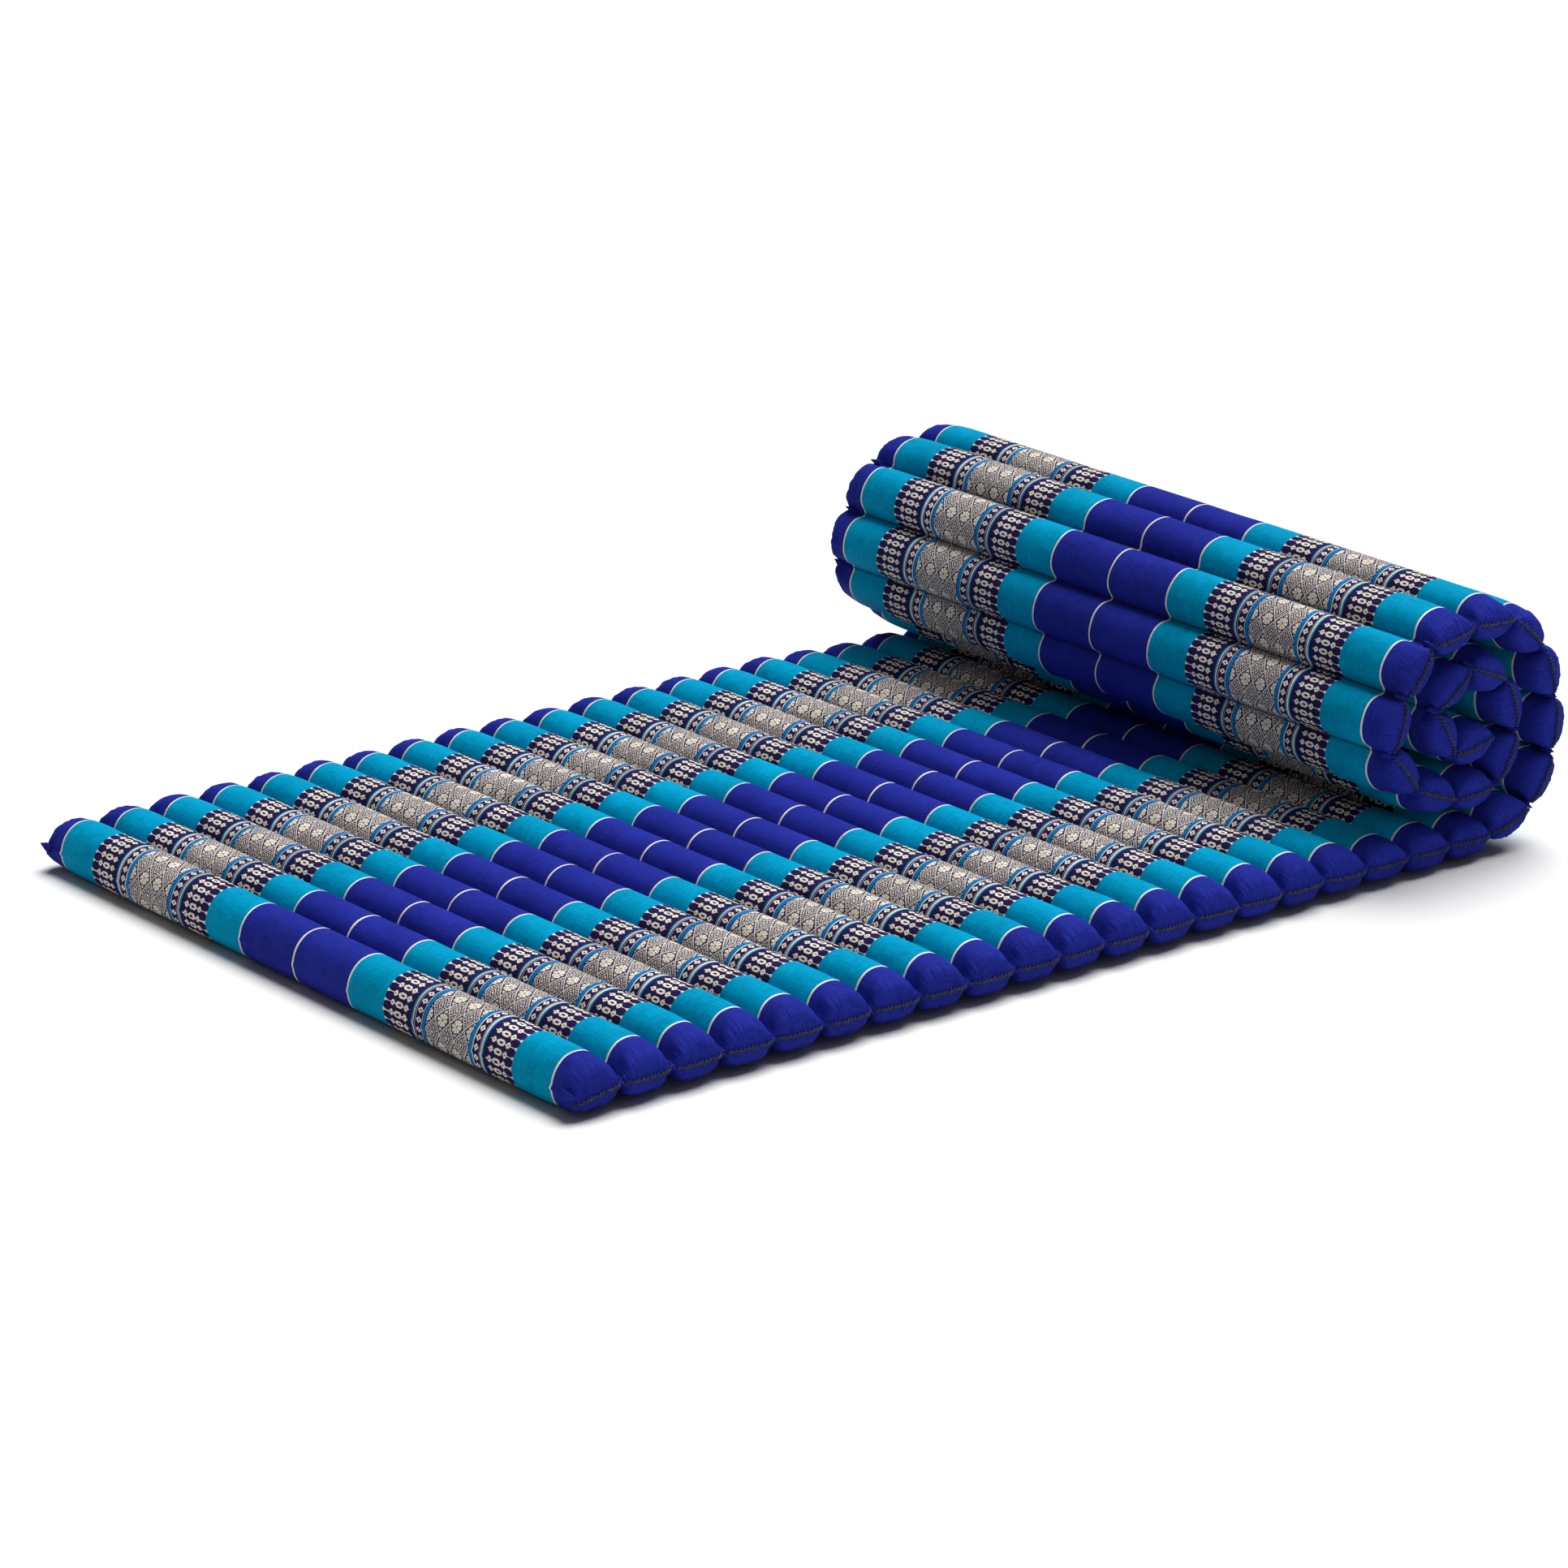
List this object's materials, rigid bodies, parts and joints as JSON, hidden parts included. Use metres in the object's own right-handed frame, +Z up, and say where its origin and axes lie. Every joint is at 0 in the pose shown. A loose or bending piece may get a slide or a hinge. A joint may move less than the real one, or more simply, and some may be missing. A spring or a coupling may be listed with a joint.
{
  "type": "futon mattress",
  "caption": "Kapok-filled floor mattress quilted into transverse channels, partly rolled up, with a patterned cotton cover and a hand-sewn closing seam.",
  "frame": {"origin": "on the floor, under the middle of channel 6, counted from the free front edge", "axes": "+X along the mattress from the free front edge towards the roll, +Y across it towards the folded long side, +Z up"},
  "size_m": [1.1491, 0.7618, 0.2453],
  "materials": {
    "cover_cloth": "satin",
    "kapok": "matte",
    "thread": "matte"
  },
  "bodies": {
    "front_section": {"cover_front": "cover_cloth", "kapok_front": "kapok", "closing_thread_front": "thread"},
    "channel_11": {"cover_11": "cover_cloth", "kapok_11": "kapok"},
    "channel_12": {"cover_12": "cover_cloth", "kapok_12": "kapok"},
    "channel_13": {"cover_13": "cover_cloth", "kapok_13": "kapok"},
    "channel_14": {"cover_14": "cover_cloth", "kapok_14": "kapok"},
    "channel_15": {"cover_15": "cover_cloth", "kapok_15": "kapok"},
    "channel_16": {"cover_16": "cover_cloth", "kapok_16": "kapok"},
    "channel_17": {"cover_17": "cover_cloth", "kapok_17": "kapok"},
    "channel_18": {"cover_18": "cover_cloth", "kapok_18": "kapok"},
    "channel_19": {"cover_19": "cover_cloth", "kapok_19": "kapok"},
    "channel_20": {"cover_20": "cover_cloth", "kapok_20": "kapok"},
    "channel_21": {"cover_21": "cover_cloth", "kapok_21": "kapok"},
    "channel_22": {"cover_22": "cover_cloth", "kapok_22": "kapok"},
    "channel_23": {"cover_23": "cover_cloth", "kapok_23": "kapok"},
    "channel_24": {"cover_24": "cover_cloth", "kapok_24": "kapok"},
    "channel_25": {"cover_25": "cover_cloth", "kapok_25": "kapok"},
    "channel_26": {"cover_26": "cover_cloth", "kapok_26": "kapok"},
    "channel_27": {"cover_27": "cover_cloth", "kapok_27": "kapok"},
    "channel_28": {"cover_28": "cover_cloth", "kapok_28": "kapok"},
    "channel_29": {"cover_29": "cover_cloth", "kapok_29": "kapok"},
    "channel_30": {"cover_30": "cover_cloth", "kapok_30": "kapok"},
    "channel_31": {"cover_31": "cover_cloth", "kapok_31": "kapok"},
    "channel_32": {"cover_32": "cover_cloth", "kapok_32": "kapok"},
    "channel_33": {"cover_33": "cover_cloth", "kapok_33": "kapok"},
    "channel_34": {"cover_34": "cover_cloth", "kapok_34": "kapok"},
    "channel_35": {"cover_35": "cover_cloth", "kapok_35": "kapok"},
    "channel_36": {"cover_36": "cover_cloth", "kapok_36": "kapok"},
    "channel_37": {"cover_37": "cover_cloth", "kapok_37": "kapok"},
    "channel_38": {"cover_38": "cover_cloth", "kapok_38": "kapok"}
  },
  "joints": [
    {"name": "seam_10_bend", "type": "hinge", "parent": "front_section", "child": "channel_11", "pos_m": [0.23684, 0, 0.022], "axis": [0, -1, 0], "range_deg": [-15, 20]},
    {"name": "seam_11_bend", "type": "hinge", "parent": "channel_11", "child": "channel_12", "pos_m": [0.28947, 0, 0.022], "axis": [0, -1, 0], "range_deg": [-15, 20]},
    {"name": "seam_12_bend", "type": "hinge", "parent": "channel_12", "child": "channel_13", "pos_m": [0.3421, 0, 0.022], "axis": [0, -1, 0], "range_deg": [-15, 20]},
    {"name": "seam_13_bend", "type": "hinge", "parent": "channel_13", "child": "channel_14", "pos_m": [0.39474, 0, 0.022], "axis": [0, -1, 0], "range_deg": [-15, 20]},
    {"name": "seam_14_bend", "type": "hinge", "parent": "channel_14", "child": "channel_15", "pos_m": [0.44737, 0, 0.022], "axis": [0, -1, 0], "range_deg": [-15, 20]},
    {"name": "seam_15_bend", "type": "hinge", "parent": "channel_15", "child": "channel_16", "pos_m": [0.5, 0, 0.022], "axis": [0, -1, 0], "range_deg": [-15, 20]},
    {"name": "seam_16_bend", "type": "hinge", "parent": "channel_16", "child": "channel_17", "pos_m": [0.55263, 0, 0.022], "axis": [0, -1, 0], "range_deg": [-15, 20]},
    {"name": "seam_17_bend", "type": "hinge", "parent": "channel_17", "child": "channel_18", "pos_m": [0.60526, 0, 0.022], "axis": [0, -1, 0], "range_deg": [-15, 0]},
    {"name": "seam_18_bend", "type": "hinge", "parent": "channel_18", "child": "channel_19", "pos_m": [0.6579, 0, 0.022], "axis": [0, -1, 0], "range_deg": [-15, 0]},
    {"name": "seam_19_bend", "type": "hinge", "parent": "channel_19", "child": "channel_20", "pos_m": [0.71053, 0, 0.022], "axis": [0, -1, 0], "range_deg": [-15, 0]},
    {"name": "unroll", "type": "hinge", "parent": "channel_20", "child": "channel_21", "pos_m": [0.76316, 0, 0.022], "axis": [0, -1, 0], "range_deg": [-19, 0]},
    {"name": "unroll_21", "type": "hinge", "parent": "channel_21", "child": "channel_22", "pos_m": [0.81292, 0, 0.03914], "axis": [0, -1, 0], "range_deg": [-43, 0]},
    {"name": "unroll_22", "type": "hinge", "parent": "channel_22", "child": "channel_23", "pos_m": [0.83763, 0, 0.08561], "axis": [0, -1, 0], "range_deg": [-28, 0]},
    {"name": "unroll_23", "type": "hinge", "parent": "channel_23", "child": "channel_24", "pos_m": [0.83763, 0, 0.13824], "axis": [0, -1, 0], "range_deg": [-21, 0]},
    {"name": "unroll_24", "type": "hinge", "parent": "channel_24", "child": "channel_25", "pos_m": [0.81877, 0, 0.18737], "axis": [0, -1, 0], "range_deg": [-28, 0]},
    {"name": "unroll_25", "type": "hinge", "parent": "channel_25", "child": "channel_26", "pos_m": [0.77905, 0, 0.2219], "axis": [0, -1, 0], "range_deg": [-38, 0]},
    {"name": "unroll_26", "type": "hinge", "parent": "channel_26", "child": "channel_27", "pos_m": [0.72649, 0, 0.22466], "axis": [0, -1, 0], "range_deg": [-14, 0]},
    {"name": "unroll_27", "type": "hinge", "parent": "channel_27", "child": "channel_28", "pos_m": [0.67482, 0, 0.21462], "axis": [0, -1, 0], "range_deg": [-41, 0]},
    {"name": "unroll_28", "type": "hinge", "parent": "channel_28", "child": "channel_29", "pos_m": [0.64242, 0, 0.17314], "axis": [0, -1, 0], "range_deg": [-24, 0]},
    {"name": "unroll_29", "type": "hinge", "parent": "channel_29", "child": "channel_30", "pos_m": [0.62969, 0, 0.12207], "axis": [0, -1, 0], "range_deg": [-56, 0]},
    {"name": "unroll_30", "type": "hinge", "parent": "channel_30", "child": "channel_31", "pos_m": [0.6649, 0, 0.08296], "axis": [0, -1, 0], "range_deg": [-28, 0]},
    {"name": "unroll_31", "type": "hinge", "parent": "channel_31", "child": "channel_32", "pos_m": [0.71436, 0, 0.06496], "axis": [0, -1, 0], "range_deg": [-24, 0]},
    {"name": "unroll_32", "type": "hinge", "parent": "channel_32", "child": "channel_33", "pos_m": [0.76687, 0, 0.06863], "axis": [0, -1, 0], "range_deg": [-61, 0]},
    {"name": "unroll_33", "type": "hinge", "parent": "channel_33", "child": "channel_34", "pos_m": [0.78911, 0, 0.11633], "axis": [0, -1, 0], "range_deg": [-43, 0]},
    {"name": "unroll_34", "type": "hinge", "parent": "channel_34", "child": "channel_35", "pos_m": [0.77285, 0, 0.16639], "axis": [0, -1, 0], "range_deg": [-49, 0]},
    {"name": "unroll_35", "type": "hinge", "parent": "channel_35", "child": "channel_36", "pos_m": [0.7244, 0, 0.18695], "axis": [0, -1, 0], "range_deg": [-63, 0]},
    {"name": "unroll_36", "type": "hinge", "parent": "channel_36", "child": "channel_37", "pos_m": [0.68408, 0, 0.15312], "axis": [0, -1, 0], "range_deg": [-78, 0]},
    {"name": "unroll_37", "type": "hinge", "parent": "channel_37", "child": "channel_38", "pos_m": [0.70879, 0, 0.10665], "axis": [0, -1, 0], "range_deg": [-73, 0]}
  ],
  "couplings": [
    {"joint": "unroll_21", "follows": "unroll", "ratio": 2.2632},
    {"joint": "unroll_22", "follows": "unroll", "ratio": 1.4737},
    {"joint": "unroll_23", "follows": "unroll", "ratio": 1.1053},
    {"joint": "unroll_24", "follows": "unroll", "ratio": 1.4737},
    {"joint": "unroll_25", "follows": "unroll", "ratio": 2},
    {"joint": "unroll_26", "follows": "unroll", "ratio": 0.73684},
    {"joint": "unroll_27", "follows": "unroll", "ratio": 2.1579},
    {"joint": "unroll_28", "follows": "unroll", "ratio": 1.2632},
    {"joint": "unroll_29", "follows": "unroll", "ratio": 2.9474},
    {"joint": "unroll_30", "follows": "unroll", "ratio": 1.4737},
    {"joint": "unroll_31", "follows": "unroll", "ratio": 1.2632},
    {"joint": "unroll_32", "follows": "unroll", "ratio": 3.2105},
    {"joint": "unroll_33", "follows": "unroll", "ratio": 2.2632},
    {"joint": "unroll_34", "follows": "unroll", "ratio": 2.5789},
    {"joint": "unroll_35", "follows": "unroll", "ratio": 3.3158},
    {"joint": "unroll_36", "follows": "unroll", "ratio": 4.1053},
    {"joint": "unroll_37", "follows": "unroll", "ratio": 3.8421}
  ]
}
